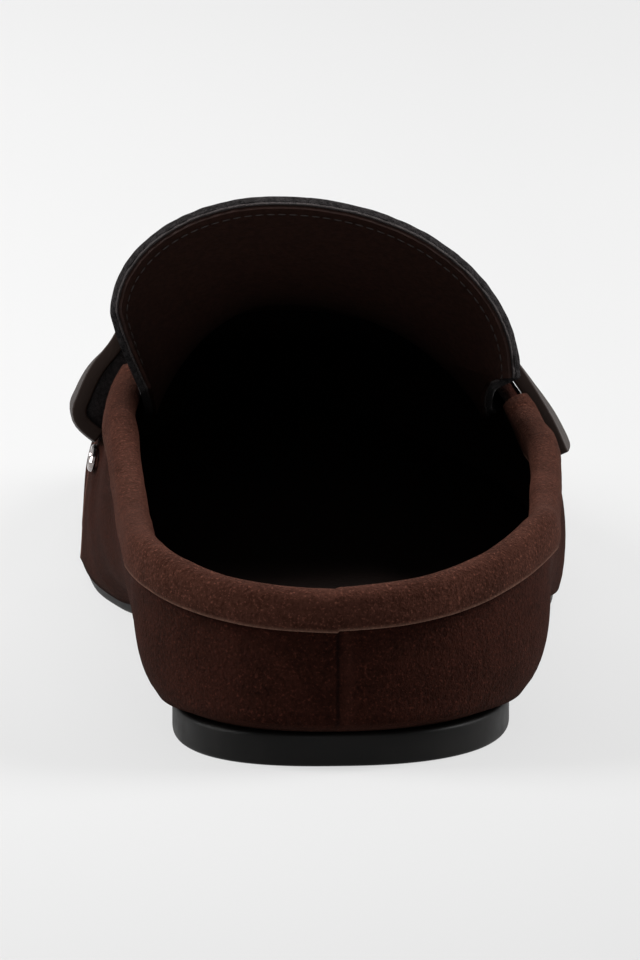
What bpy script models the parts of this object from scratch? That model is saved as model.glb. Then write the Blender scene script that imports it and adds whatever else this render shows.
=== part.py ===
"""Right loafer mule: moulded sole, insole, suede upper, rolled collar, tongue, saddle strap and link.

Z is up, the toe points to +Y and the medial side is at -X. The origin lies on the floor, under the
middle of the heel. Tables give shares of the named sizes, one row per section along the shoe.
"""

import math

import bpy
import numpy as np

MM = 0.001

# Main sizes of the shoe
LENGTH = 262 * MM
BALL_WIDTH = 88 * MM
INSTEP_HEIGHT = 68 * MM
HEEL_THICKNESS = 6 * MM
HEEL_CENTRE = 0.130 * LENGTH
HEEL_ARC = 0.137 * LENGTH
TOE_ARC = 0.267 * LENGTH
HEEL_POWER = 2.25
SOLE_POWER = 2.50
BODY_POWER = 2.05
TOE_POWER = 2.25
RIDGE_BACK = 0.56 * HEEL_ARC
RIDGE_FRONT = 0.54 * TOE_ARC
RIDGE_EASE = 0.55
SEARCH_STEPS = 18

# Clearances and leather thickness
SEAT_GAP = 0.3 * MM
WALL = 2.0 * MM
QUARTER_EXTRA = 0.7 * MM

# Outline of the sole: share of the length, then centre and half width as shares of the ball width,
# and how much of FEATHER_OVERHANG the upper stands out over it
SOLE = (
    # along, centre, half_width, overhang
    (0.000, -0.030, 0.346, 0.90),
    (0.060, -0.014, 0.347, 0.90),
    (0.130, 0.000, 0.347, 0.90),
    (0.200, 0.008, 0.342, 0.90),
    (0.270, 0.020, 0.334, 0.90),
    (0.345, 0.040, 0.348, 0.70),
    (0.420, 0.054, 0.398, 0.50),
    (0.495, 0.042, 0.468, 0.30),
    (0.570, 0.024, 0.503, 0.30),
    (0.630, 0.017, 0.508, 0.30),
    (0.690, 0.013, 0.502, 0.30),
    (0.745, 0.007, 0.493, 0.30),
    (0.800, -0.005, 0.474, 0.30),
    (0.860, -0.019, 0.443, 0.30),
    (0.920, -0.036, 0.408, 0.30),
    (1.000, -0.057, 0.352, 0.30),
)

# Outline of the body at its widest level, in the same shares
BODY = (
    # along, centre, half_width
    (0.000, -0.026, 0.422),
    (0.060, -0.012, 0.423),
    (0.130, 0.002, 0.425),
    (0.230, 0.010, 0.437),
    (0.345, 0.018, 0.464),
    (0.440, 0.014, 0.501),
    (0.550, 0.028, 0.523),
    (0.620, 0.031, 0.522),
    (0.680, 0.023, 0.510),
    (0.745, 0.010, 0.498),
    (0.800, -0.006, 0.484),
    (0.860, -0.020, 0.460),
    (0.920, -0.036, 0.424),
    (1.000, -0.057, 0.364),
)
BODY_BACK = 2.5 * MM
BODY_FRONT = 2.0 * MM
TUCK_HEIGHT = 4.5 * MM
FEATHER_OVERHANG = 2.6 * MM
NORMAL_TURN = 0.01
NORMAL_EDGE = 0.002
NORMAL_STEP = 1.0 * MM
RIDGE_FLAT = 0.003
SAME_PLACE = 1e-6

# Ridge of the last: height as a share of the instep height, sideways place as a share of the ball
# width, and how square the section is
RIDGE = (
    # along, height, side, power
    (0.000, 1.360, 0.000, 3.20),
    (0.220, 1.330, -0.020, 3.30),
    (0.380, 1.190, -0.070, 2.60),
    (0.440, 1.090, -0.080, 2.10),
    (0.495, 0.980, -0.080, 2.06),
    (0.555, 0.895, -0.080, 2.14),
    (0.615, 0.805, -0.078, 2.26),
    (0.690, 0.695, -0.075, 2.28),
    (0.765, 0.608, -0.070, 2.28),
    (0.840, 0.548, -0.066, 2.38),
    (0.920, 0.510, -0.062, 2.50),
    (1.000, 0.500, -0.057, 2.50),
)

# Top edge of the wall on each side, as shares of the instep height
TOPLINE = (
    # along, medial, lateral
    (0.000, 0.450, 0.455),
    (0.110, 0.519, 0.560),
    (0.210, 0.508, 0.505),
    (0.305, 0.560, 0.525),
    (0.380, 0.638, 0.560),
    (0.435, 0.662, 0.562),
    (0.463, 0.666, 0.566),
    (0.475, 0.690, 0.600),
    (0.488, 0.860, 0.840),
    (0.500, 0.980, 0.980),
)
THROAT = 0.500

# Sole: height of the top face and of the ground face, as shares of the heel thickness
SOLE_LEVELS = (
    # along, top, ground
    (0.000, 1.000, 0.000),
    (0.230, 1.000, 0.000),
    (0.255, 0.985, 0.000),
    (0.273, 0.970, 0.400),
    (0.345, 0.930, 0.400),
    (0.430, 0.820, 0.230),
    (0.510, 0.700, 0.020),
    (0.545, 0.660, 0.000),
    (0.720, 0.640, 0.000),
    (0.800, 0.740, 0.110),
    (0.880, 1.030, 0.410),
    (0.950, 1.450, 0.840),
    (1.000, 1.830, 1.230),
)
SOLE_RINGS = (1.0, 0.55, 0.0)
SOLE_EDGE = 0.7 * MM
SOLE_EDGE_STEPS = 2
SOLE_EDGE_ANGLE = 40.0

# Stations along the sides, between the heel arc and the toe arc
SIDE_ALONG = (
    0.165, 0.195, 0.230, 0.255, 0.273, 0.310, 0.345, 0.380, 0.410, 0.432, 0.449, 0.462,
    0.474, 0.481, 0.488, 0.494, 0.500, 0.520, 0.545, 0.5800, 0.5815, 0.615, 0.650, 0.690, 0.715,
)
HEEL_STEPS = 8
TOE_STEPS = 10

MARGIN = 9.0 * MM
MARGIN_ROWS = (1.0, 0.55, 0.12)
WALL_ROWS = (0.0, 0.045, 0.11, 0.19, 0.29, 0.40, 0.52, 0.64, 0.76, 0.88, 1.0)
QUARTER_EDGE = 0.5808
QUARTER_SLANT = 8.0 * MM
QUARTER_SLANT_REACH = 0.13

INSOLE_THICKNESS = 2.2 * MM
INSOLE_REACH = 0.9
INSOLE_CLEAR = 0.50 * MM
FILLER_CLEAR = 0.4 * MM
FILLER_STEP = 0.5 * MM

# Rolled collar: section across the wall (out from the lasted face) and up from its top edge
COLLAR_BULGE = 1.5 * MM
COLLAR_IN = 1.1 * MM
COLLAR_TOP = 1.8 * MM
COLLAR_DROP_OUT = 5.5 * MM
COLLAR_DROP_IN = 6.0 * MM
COLLAR_ROLL_LOW = 1.6 * MM
COLLAR_ROLL_ROUND = 0.8
COLLAR_ROLL_STEPS = 6
COLLAR_END = 0.475
COLLAR_OUTSIDE = (
    # share of the bulge, share of the outer drop
    (0.00, 1.00),
    (0.55, 1.00),
    (0.73, 0.92),
    (1.00, 0.55),
)
COLLAR_INSIDE = (
    # share of the inner thickness, share of the inner drop
    (1.0, 0.6),
    (0.5, 1.0),
    (0.0, 1.0),
    (0.0, 0.5),
)
COLLAR_BACKING = (0.22, 0.48, 0.74)

# Tongue: free arch over the instep. Widths are shares of the ball width, levels of the instep height
# and places of the length
TONGUE_THICKNESS = 2.3 * MM
TONGUE_RIDGE = -0.106
TONGUE_TOP = 1.261
TONGUE_MEDIAL = (0.347, 0.334)
TONGUE_LATERAL = (0.527, 0.526)
TONGUE_FOOT_IN = (0.066, 0.056)
TONGUE_FOOT_LEVEL = 0.687
TONGUE_FREE_BACK = 0.374
TONGUE_FREE_SIDE = 0.4135
TONGUE_CROWN = 0.667
TONGUE_SIDE_EASE = 1.4
TONGUE_FOOT_EASE = 1.3
TONGUE_END_EASE = 1.1
TONGUE_INSET_EASE = 1.5
TONGUE_HELD = (0.573, 0.550, 0.527, 0.504)
TONGUE_HELD_ANGLE = 34.0
TONGUE_INSET = 2.3 * MM
TONGUE_FREE_ROWS = 6
TONGUE_COLUMNS = 13

# Saddle strap: angle up the section and share of the stand-off, from the medial end over the ridge
STRAP_THICKNESS = 2.7 * MM
STRAP_PROUD = 4.7 * MM
STRAP_BACK = 0.479
STRAP_WIDTH = 0.103
STRAP_ROWS = 5
STRAP_EDGE = 0.35 * MM
STRAP_EDGE_STEPS = 1
STRAP_EDGE_ANGLE = 60.0
STRAP_STAND = (
    # degrees, share
    (-27.5, 0.000),
    (-29.5, 0.850),
    (-33.0, 0.920),
    (-38.0, 0.860),
    (-44.0, 0.620),
    (-51.0, 0.680),
    (-58.0, 0.720),
    (-66.0, 0.580),
    (-74.0, 0.330),
    (-82.0, 0.150),
    (-90.0, 0.075),
    (82.0, 0.125),
    (74.0, 0.260),
    (66.0, 0.360),
    (58.0, 0.380),
    (50.0, 0.240),
    (42.0, 0.080),
    (34.0, 0.060),
    (27.0, 0.160),
    (21.0, 0.240),
)

# Link under the medial end of the strap
LINK_WIRE = 1.3 * MM
LINK_LONG = 9.0 * MM
LINK_TALL = 3.8 * MM
LINK_ALONG = STRAP_BACK + 0.2 * STRAP_WIDTH
LINK_GAP = 2.5 * MM
LINK_STEPS = 16


def read(table, column, along):
    """Smooth value of one column at a share of the length."""
    places = [row[0] for row in table]
    values = [row[column] for row in table]
    along = min(max(along, places[0]), places[-1])
    index = 0
    while index < len(places) - 2 and along > places[index + 1]:
        index += 1
    step = places[index + 1] - places[index]
    slopes = [slope_at(places, values, end) for end in (index, index + 1)]
    t = (along - places[index]) / step
    rise = values[index + 1] - values[index]
    ease = t * t * (3 - 2 * t)
    bend = t * (1 - t) * ((1 - t) * slopes[0] - t * slopes[1]) * step
    return values[index] + ease * rise + bend


def slope_at(places, values, index):
    """Slope of the curve at a row, flat where the values turn."""
    if index == 0 or index == len(places) - 1:
        near = 1 if index == 0 else index - 1
        return (values[near] - values[index]) / (places[near] - places[index])
    before = (values[index] - values[index - 1]) / (places[index] - places[index - 1])
    after = (values[index + 1] - values[index]) / (places[index + 1] - places[index])
    if before * after <= 0:
        return 0.0
    return 2 * before * after / (before + after)


def end_round(share, power):
    """Width factor of a rounded end, from 0 at its tip to 1 where the side begins."""
    return (1 - (1 - share) ** power) ** (1 / power)


def outline(table, side, place, power, back=0.0, front=0.0):
    """Plan point of an outline, where place runs from 0 at the heel back to LENGTH at the toe tip."""
    width = read(table, 2, place / LENGTH) * BALL_WIDTH
    y = place
    if place < HEEL_ARC:
        share = place / HEEL_ARC
        width *= end_round(share, power)
        y = HEEL_ARC - (HEEL_ARC + back) * (1 - share)
    if place > LENGTH - TOE_ARC:
        share = (LENGTH - place) / TOE_ARC
        width *= end_round(share, TOE_POWER)
        y = LENGTH - TOE_ARC + (TOE_ARC + front) * (1 - share)
    centre = read(table, 1, y / LENGTH) * BALL_WIDTH
    return np.array((centre + side * width, y))


def ridge_point(place):
    """Plan point of the ridge that a place on the outline leads to."""
    y = place
    if place < HEEL_ARC:
        angle = math.acos(min(1.0, (1 - place / HEEL_ARC)) ** (HEEL_POWER / 2))
        left = math.pi / 2 - angle
        y = HEEL_ARC - RIDGE_BACK * (1 - math.exp(-left / RIDGE_EASE))
    if place > LENGTH - TOE_ARC:
        angle = math.asin(min(1.0, (place - LENGTH + TOE_ARC) / TOE_ARC) ** (TOE_POWER / 2))
        y = LENGTH - TOE_ARC + RIDGE_FRONT * (1 - math.exp(-angle / RIDGE_EASE))
    return np.array((read(RIDGE, 2, y / LENGTH) * BALL_WIDTH, y))


def sole_top(y):
    return read(SOLE_LEVELS, 1, y / LENGTH) * HEEL_THICKNESS


def sole_ground(y):
    return read(SOLE_LEVELS, 2, y / LENGTH) * HEEL_THICKNESS


def feather(side, place):
    """Plan point of the last's lower edge."""
    overhang = read(SOLE, 3, place / LENGTH) * FEATHER_OVERHANG
    point = outline(SOLE, side, place, HEEL_POWER)
    inward = ridge_point(place) - point
    return point + inward / np.linalg.norm(inward) * (WALL - overhang)


def last_floor(y):
    """Level of the last's underside, above the sole and the turned-in margin."""
    return sole_top(y) + SEAT_GAP + WALL


def top_angle(side, place):
    """Angle up the section at which the wall ends."""
    along = place / LENGTH
    if along >= THROAT - SAME_PLACE:
        return math.pi / 2
    floor = last_floor(place)
    edge = read(TOPLINE, 1 if side < 0 else 2, along) * INSTEP_HEIGHT
    ridge = read(RIDGE, 1, along) * INSTEP_HEIGHT - WALL
    share = min(1.0, (edge - floor) / (ridge - floor))
    return math.asin(share ** (read(RIDGE, 3, along) / 2))


def last(side, place, angle, out=0.0):
    """Point on the last, or that far outside it, at an angle up the section from 0 to half pi."""
    if out:
        return last(side, place, angle) + out * last_normal(side, place, angle)
    low = feather(side, place)
    wide = outline(BODY, side, place, BODY_POWER, BODY_BACK - WALL, BODY_FRONT - WALL)
    top = ridge_point(place)
    wide[0] -= side * WALL
    power = read(RIDGE, 3, top[1] / LENGTH)
    inset = 1 - math.cos(angle) ** (2 / power)
    rise = math.sin(angle) ** (2 / power)
    floor = last_floor(low[1])
    z = floor + (read(RIDGE, 1, low[1] / LENGTH) * INSTEP_HEIGHT - WALL - floor) * rise
    for _ in range(2):
        tuck = 1 - math.exp(-(z - floor) / TUCK_HEIGHT)
        base = low + (wide - low) * tuck
        plan = base + inset * (top - base)
        ridge = read(RIDGE, 1, plan[1] / LENGTH) * INSTEP_HEIGHT - WALL
        z = floor + (ridge - floor) * rise
    return np.array((plan[0], plan[1], z))


def last_normal(side, place, angle):
    """Outward direction of the last."""
    low = max(angle - NORMAL_TURN, NORMAL_EDGE)
    high = min(angle + NORMAL_TURN, math.pi / 2 - NORMAL_EDGE)
    up = last(side, place, high) - last(side, place, low)
    back = max(place - NORMAL_STEP, 0.0)
    front = min(place + NORMAL_STEP, LENGTH)
    ahead = last(side, front, angle) - last(side, back, angle)
    normal = np.cross(ahead, up) * side
    if angle > math.pi / 2 - RIDGE_FLAT:
        normal[0] = 0.0
    return normal / np.linalg.norm(normal)


def places():
    """Places of the stations from the heel back to the toe tip."""
    heel, toe = [], []
    for step in range(HEEL_STEPS + 1):
        angle = math.pi / 2 * step / HEEL_STEPS
        heel.append(HEEL_ARC * (1 - math.cos(angle) ** (2 / HEEL_POWER)))
    for step in range(TOE_STEPS + 1):
        angle = math.pi / 2 * step / TOE_STEPS
        toe.append(LENGTH - TOE_ARC + TOE_ARC * math.sin(angle) ** (2 / TOE_POWER))
    return heel + [along * LENGTH for along in SIDE_ALONG] + toe


def around(stations):
    """Side and place of each column: heel back, medial side, toe tip, lateral side."""
    medial = [(-1, place) for place in stations]
    lateral = [(1, place) for place in stations[-2:0:-1]]
    return medial + lateral


def ring_faces(rows, columns, zipped=None):
    """Faces between closed rings; the last ring is zipped along the ridge where zipped says so."""

    def corner(row, column):
        column %= columns
        if zipped and row == rows - 1 and column > columns // 2 and zipped(columns - column):
            column = columns - column
        return row * columns + column

    faces = []
    for row in range(rows - 1):
        for column in range(columns):
            faces.append((
                corner(row, column + 1),
                corner(row, column),
                corner(row + 1, column),
                corner(row + 1, column + 1),
            ))
    return faces


def sheet_faces(rows, columns):
    faces = []
    for row in range(rows - 1):
        for column in range(columns - 1):
            start = row * columns + column
            faces.append((start, start + 1, start + 1 + columns, start + columns))
    return faces


def material(name, colour, roughness, metallic=0.0):
    made = bpy.data.materials.new(name)
    made.use_nodes = True
    shader = made.node_tree.nodes["Principled BSDF"]
    shader.inputs["Base Color"].default_value = (*colour, 1.0)
    shader.inputs["Roughness"].default_value = roughness
    shader.inputs["Metallic"].default_value = metallic
    made.diffuse_color = (*colour, 1.0)
    return made


def add_object(name, points, faces, look, collection):
    """One named mesh, moved so that the origin is under the heel's centre, without loose points."""
    used = sorted({index for face in faces for index in face})
    place = {index: number for number, index in enumerate(used)}
    shift = np.array((0.0, -HEEL_CENTRE, 0.0))
    mesh = bpy.data.meshes.new(name)
    mesh.from_pydata(
        [tuple(points[index] + shift) for index in used],
        [],
        [tuple(place[index] for index in face) for face in faces],
    )
    mesh.polygons.foreach_set("use_smooth", [True] * len(mesh.polygons))
    mesh.materials.append(look)
    made = bpy.data.objects.new(name, mesh)
    collection.objects.link(made)
    return made, used


def thicken(made, thickness, offset=1.0):
    solid = made.modifiers.new("Thickness", "SOLIDIFY")
    solid.thickness = thickness
    solid.offset = offset
    solid.use_even_offset = True
    solid.use_rim = True
    return solid


def thin_where(made, solid, weights):
    """Give each point its own share of the thickness."""
    group = made.vertex_groups.new(name="Thickness")
    for number, weight in enumerate(weights):
        group.add([number], weight, "REPLACE")
    solid.vertex_group = group.name


def soften(made, width, segments, least_angle):
    bevel = made.modifiers.new("Edges", "BEVEL")
    bevel.width = width
    bevel.segments = segments
    bevel.limit_method = "ANGLE"
    bevel.angle_limit = math.radians(least_angle)


def build_outsole(collection):
    """Moulded unit: low heel, breast, waist and forefoot in one."""
    columns = around(places())
    points = []
    rings = [(sole_ground, inset) for inset in SOLE_RINGS] + [(sole_top, inset) for inset in SOLE_RINGS[::-1]]
    for level, inset in rings:
        for side, place in columns:
            edge = outline(SOLE, side, place, SOLE_POWER)
            plan = edge + inset * (ridge_point(place) - edge)
            points.append(np.array((plan[0], plan[1], level(plan[1]))))
    count = len(columns)
    faces = []
    for face in ring_faces(len(rings), count, lambda column: True):
        faces.append(tuple(count - corner if count // 2 < corner < count else corner for corner in face))
    look = material("Black rubber", (0.012, 0.012, 0.012), 0.42)
    made, _ = add_object("outsole", points, faces, look, collection)
    soften(made, SOLE_EDGE, SOLE_EDGE_STEPS, SOLE_EDGE_ANGLE)


def build_insole(collection):
    """Footbed: lies on the turned-in margin and fills the space inside it."""
    columns = around(places())
    points, weights = [], []
    deep = INSOLE_THICKNESS + WALL
    edge_share = INSOLE_THICKNESS / deep
    inner = MARGIN + FILLER_CLEAR
    for reach, share in (
        (INSOLE_CLEAR, edge_share),
        (inner, edge_share),
        (inner + FILLER_STEP, 1.0),
        (None, 1.0),
    ):
        for side, place in columns:
            edge = feather(side, place)
            inward = ridge_point(place) - edge
            size = np.linalg.norm(inward)
            plan = edge + inward * (1.0 if reach is None else min(reach / size, INSOLE_REACH))
            level = last_floor(plan[1]) + SEAT_GAP + INSOLE_THICKNESS
            points.append(np.array((plan[0], plan[1], level)))
            weights.append(share)
    faces = ring_faces(4, len(columns), lambda column: True)
    look = material("Footbed leather", (0.035, 0.018, 0.012), 0.6)
    made, kept = add_object("insole", points, faces, look, collection)
    solid = thicken(made, deep, -1.0)
    solid.use_even_offset = False
    thin_where(made, solid, [weights[index] for index in kept])


def slanted(place, share):
    """Place at a height share, with the quarter's front edge leaning back as it rises."""
    near = max(0.0, 1 - abs(place / LENGTH - QUARTER_EDGE) / QUARTER_SLANT_REACH)
    ease = near * near * (3 - 2 * near)
    ahead = place / LENGTH > THROAT
    return place + QUARTER_SLANT * (1 - 2 * share) * ease * (1.0 if ahead else 0.0)


def build_upper(collection):
    """Hollow suede upper: counter, quarters, vamp and toe, with its margin turned in underneath."""
    columns = around(places())
    points, weights = [], []
    quarter = WALL + QUARTER_EXTRA
    for inward in MARGIN_ROWS:
        for side, place in columns:
            edge = feather(side, place)
            way = ridge_point(place) - edge
            plan = edge + way / np.linalg.norm(way) * inward * MARGIN
            points.append(np.array((plan[0], plan[1], last_floor(plan[1]))))
            weights.append(WALL / quarter)
    for share in WALL_ROWS:
        for side, place in columns:
            moved = slanted(place, share)
            points.append(last(side, moved, top_angle(side, place) * share))
            rear = place / LENGTH < QUARTER_EDGE and share > 0
            weights.append(1.0 if rear else WALL / quarter)
    rows = len(MARGIN_ROWS) + len(WALL_ROWS)
    throat = next(n for n, (_, place) in enumerate(columns) if place / LENGTH >= THROAT - SAME_PLACE)
    faces = ring_faces(rows, len(columns), lambda column: column >= throat)
    look = material("Brown suede", (0.022, 0.008, 0.006), 0.95)
    made, kept = add_object("upper", points, faces, look, collection)
    solid = thicken(made, quarter)
    thin_where(made, solid, [weights[index] for index in kept])


def collar_section():
    """Section of the rolled band round the wall's top edge: out from the last, up from the edge."""
    wall = WALL + QUARTER_EXTRA
    outer = wall + SEAT_GAP
    half = wall / 2 + SEAT_GAP
    section = []
    for bulge, drop in COLLAR_OUTSIDE:
        section.append((outer + COLLAR_BULGE * bulge, -COLLAR_DROP_OUT * drop))
    for step in range(COLLAR_ROLL_STEPS + 1):
        turn = math.pi * step / COLLAR_ROLL_STEPS
        reach = half + (COLLAR_BULGE if turn < math.pi / 2 else COLLAR_IN)
        rise = (COLLAR_TOP + COLLAR_ROLL_LOW) * math.sin(turn) ** COLLAR_ROLL_ROUND - COLLAR_ROLL_LOW
        section.append((wall / 2 + reach * math.cos(turn), rise))
    for thickness, drop in COLLAR_INSIDE:
        section.append((-SEAT_GAP - COLLAR_IN * thickness, -COLLAR_DROP_IN * drop))
    section.append((-SEAT_GAP, SEAT_GAP))
    section.append((outer, SEAT_GAP))
    for drop in COLLAR_BACKING:
        section.append((outer, -COLLAR_DROP_OUT * drop))
    return section


def topline_path():
    """Side and place along the top edge, from the medial end round the heel to the lateral end."""
    under = [place for place in places() if place <= COLLAR_END * LENGTH]
    medial = [(-1, place) for place in under[::-1]]
    lateral = [(1, place) for _, place in medial[-2::-1]]
    return medial + lateral


def wall_below(side, place, top, drop):
    """Angle up the section of the point that lies this far under another, along the wall."""
    edge = last(side, place, top)
    low, high = 0.0, top
    for _ in range(SEARCH_STEPS):
        middle = (low + high) / 2
        if np.linalg.norm(edge - last(side, place, middle)) > drop:
            low = middle
        else:
            high = middle
    return (low + high) / 2


def build_collar(collection):
    """Padded suede band folded over the topline from one strap end to the other."""
    path = topline_path()
    edge = [last(side, place, top_angle(side, place)) for side, place in path]
    section = collar_section()
    points = []
    for number, (side, place) in enumerate(path):
        before = edge[max(number - 1, 0)]
        after = edge[min(number + 1, len(edge) - 1)]
        along = (after - before) / np.linalg.norm(after - before)
        normal = last_normal(side, place, top_angle(side, place))
        normal -= along * np.dot(normal, along)
        normal /= np.linalg.norm(normal)
        up = np.cross(normal, along)
        if up[2] < 0:
            up = -up
        for out, rise in section:
            if rise < 0:
                angle = wall_below(side, place, top_angle(side, place), -rise)
                points.append(last(side, place, angle, out))
            else:
                points.append(edge[number] + normal * out + up * rise)
    size = len(section)
    faces = []
    for number in range(len(path) - 1):
        for corner in range(size):
            after = (corner + 1) % size
            a = number * size + corner
            b = number * size + after
            faces.append((b, a, a + size, b + size))
    faces.append(tuple(range(size)))
    last_ring = (len(path) - 1) * size
    faces.append(tuple(last_ring + corner for corner in range(size))[::-1])
    look = material("Collar suede", (0.035, 0.015, 0.010), 0.95)
    add_object("collar", points, faces, look, collection)


def arch_point(share):
    """Point of the tongue's free edge, from its medial foot at -1 to its lateral foot at 1."""
    side = -1 if share < 0 else 1
    width, height = TONGUE_MEDIAL if side < 0 else TONGUE_LATERAL
    spread = abs(share)
    along = TONGUE_FREE_BACK + (TONGUE_FREE_SIDE - TONGUE_FREE_BACK) * spread ** TONGUE_SIDE_EASE
    if spread <= TONGUE_CROWN:
        turn = math.pi / 2 * spread / TONGUE_CROWN
        out = width * math.sin(turn)
        level = TONGUE_TOP - height * (1 - math.cos(turn))
    else:
        down = (spread - TONGUE_CROWN) / (1 - TONGUE_CROWN)
        out = width - TONGUE_FOOT_IN[side > 0] * down ** TONGUE_FOOT_EASE
        level = TONGUE_TOP - height
        level -= (level - TONGUE_FOOT_LEVEL) * down
    x = (TONGUE_RIDGE + side * out) * BALL_WIDTH
    return np.array((x, along * LENGTH, level * INSTEP_HEIGHT))


def build_tongue(collection):
    """Arched sheet held inside the vamp, rising free over the instep."""
    shares = np.linspace(-1, 1, 2 * TONGUE_COLUMNS - 1)
    low = math.radians(TONGUE_HELD_ANGLE)
    points = []
    rows = []
    for number, place in enumerate(TONGUE_HELD):
        inset = SEAT_GAP + TONGUE_INSET * (number / (len(TONGUE_HELD) - 1)) ** TONGUE_INSET_EASE
        row = []
        for share in shares:
            side = -1 if share < 0 else 1
            angle = math.pi / 2 - abs(share) * (math.pi / 2 - low)
            row.append(last(side, place * LENGTH, angle, -inset))
        rows.append(row)
    start = rows[-1]
    lead = [(a - b) for a, b in zip(rows[-1], rows[-2])]
    for step in range(1, TONGUE_FREE_ROWS + 1):
        t = step / TONGUE_FREE_ROWS
        row = []
        for number, share in enumerate(shares):
            end = arch_point(share)
            reach = np.linalg.norm(end - start[number])
            push = lead[number] / np.linalg.norm(lead[number]) * reach
            ease = t * t * (3 - 2 * t)
            bend = t * (1 - t) ** 2
            tail = t * t * (1 - t)
            chord = end - start[number]
            row.append(start[number] + ease * chord + bend * push - TONGUE_END_EASE * tail * chord)
        rows.append(row)
    for row in rows:
        points += row
    faces = [face[::-1] for face in sheet_faces(len(rows), len(shares))]
    look = material("Tongue felt", (0.030, 0.026, 0.026), 0.9)
    made, _ = add_object("tongue", points, faces, look, collection)
    thicken(made, TONGUE_THICKNESS, -1.0)


def strap_edge(place):
    """Points across the strap at one place, from its medial end over the ridge."""
    row = []
    for degrees, share in STRAP_STAND:
        side = -1 if degrees < 0 else 1
        angle = math.radians(abs(degrees))
        out = WALL + QUARTER_EXTRA + SEAT_GAP + share * STRAP_PROUD
        row.append(last(side, place, angle, out))
    return row


def build_strap(collection):
    """Saddle strap over the vamp: its medial end turns back in, its lateral end is cut square."""
    points = []
    for number in range(STRAP_ROWS):
        along = STRAP_BACK + STRAP_WIDTH * number / (STRAP_ROWS - 1)
        points += strap_edge(along * LENGTH)
    faces = sheet_faces(STRAP_ROWS, len(STRAP_STAND))
    look = material("Strap leather", (0.018, 0.010, 0.008), 0.45)
    made, _ = add_object("strap", points, faces, look, collection)
    thicken(made, STRAP_THICKNESS)
    soften(made, STRAP_EDGE, STRAP_EDGE_STEPS, STRAP_EDGE_ANGLE)


def build_link(collection):
    """Small oval metal link against the wall, under the strap's medial end."""
    place = LINK_ALONG * LENGTH
    strap_end = math.radians(-STRAP_STAND[0][0])
    angle = wall_below(-1, place, strap_end, LINK_TALL / 2 + LINK_WIRE / 2 + LINK_GAP)
    out = WALL + QUARTER_EXTRA + SEAT_GAP + LINK_WIRE / 2
    middle = last(-1, place, angle, out)
    normal = last_normal(-1, place, angle)
    ahead = np.cross(np.cross(normal, (0.0, 1.0, 0.0)), normal)
    ahead /= np.linalg.norm(ahead)
    up = np.cross(ahead, normal)
    curve = bpy.data.curves.new("link", "CURVE")
    curve.dimensions = "3D"
    curve.bevel_depth = LINK_WIRE / 2
    curve.bevel_resolution = 2
    curve.use_fill_caps = True
    line = curve.splines.new("POLY")
    line.points.add(LINK_STEPS - 1)
    for step in range(LINK_STEPS):
        turn = 2 * math.pi * step / LINK_STEPS
        spot = middle + ahead * LINK_LONG / 2 * math.cos(turn) + up * LINK_TALL / 2 * math.sin(turn)
        line.points[step].co = (spot[0], spot[1] - HEEL_CENTRE, spot[2], 1.0)
    line.use_cyclic_u = True
    line.use_smooth = True
    curve.materials.append(material("Silver metal", (0.55, 0.52, 0.50), 0.25, 1.0))
    collection.objects.link(bpy.data.objects.new("link", curve))


def main():
    for old in list(bpy.data.objects):
        bpy.data.objects.remove(old, do_unlink=True)
    collection = bpy.data.collections.new("loafer_mule")
    bpy.context.scene.collection.children.link(collection)
    build_outsole(collection)
    build_insole(collection)
    build_upper(collection)
    build_collar(collection)
    build_tongue(collection)
    build_strap(collection)
    build_link(collection)


main()
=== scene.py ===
"""Right suede loafer mule with a black rubber sole, seen from behind on a pale studio floor."""

import math

import bmesh
import bpy
import numpy as np
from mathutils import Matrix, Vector, noise


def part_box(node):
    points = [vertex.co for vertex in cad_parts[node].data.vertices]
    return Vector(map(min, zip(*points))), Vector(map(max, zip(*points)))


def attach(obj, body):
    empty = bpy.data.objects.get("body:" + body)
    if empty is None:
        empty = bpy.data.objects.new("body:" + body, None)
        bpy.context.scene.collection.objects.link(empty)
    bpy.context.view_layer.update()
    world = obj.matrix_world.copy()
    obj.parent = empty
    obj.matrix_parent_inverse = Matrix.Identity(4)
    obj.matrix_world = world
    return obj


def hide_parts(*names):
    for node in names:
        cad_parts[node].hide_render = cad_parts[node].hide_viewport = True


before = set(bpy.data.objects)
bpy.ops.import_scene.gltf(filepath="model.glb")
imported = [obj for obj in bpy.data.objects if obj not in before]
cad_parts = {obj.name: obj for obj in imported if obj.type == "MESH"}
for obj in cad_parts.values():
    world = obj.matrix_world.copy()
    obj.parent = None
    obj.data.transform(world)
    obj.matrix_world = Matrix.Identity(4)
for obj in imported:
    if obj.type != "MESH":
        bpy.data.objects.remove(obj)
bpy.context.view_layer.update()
MM = 0.001


# Camera
# The photo was taken from behind with a long lens, a little above the shoe, with the toe turned
# slightly to the left. The heel's lowest point sets where the frame lies.

FOCAL_PX = 9300.0
IMAGE_HEIGHT = 960
IMAGE_CENTRE = (320.0, 480.0)
HEEL_BACK = Vector((0.0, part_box("outsole")[0].y, 0.0))
HEEL_BACK_PX = (350.0, 767.0)
CAMERA_DISTANCE = 1.651
CAMERA_YAW = math.radians(2.62)
CAMERA_ELEVATION = math.radians(11.68)
SENSOR_WIDTH_MM = 36.0


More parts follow.
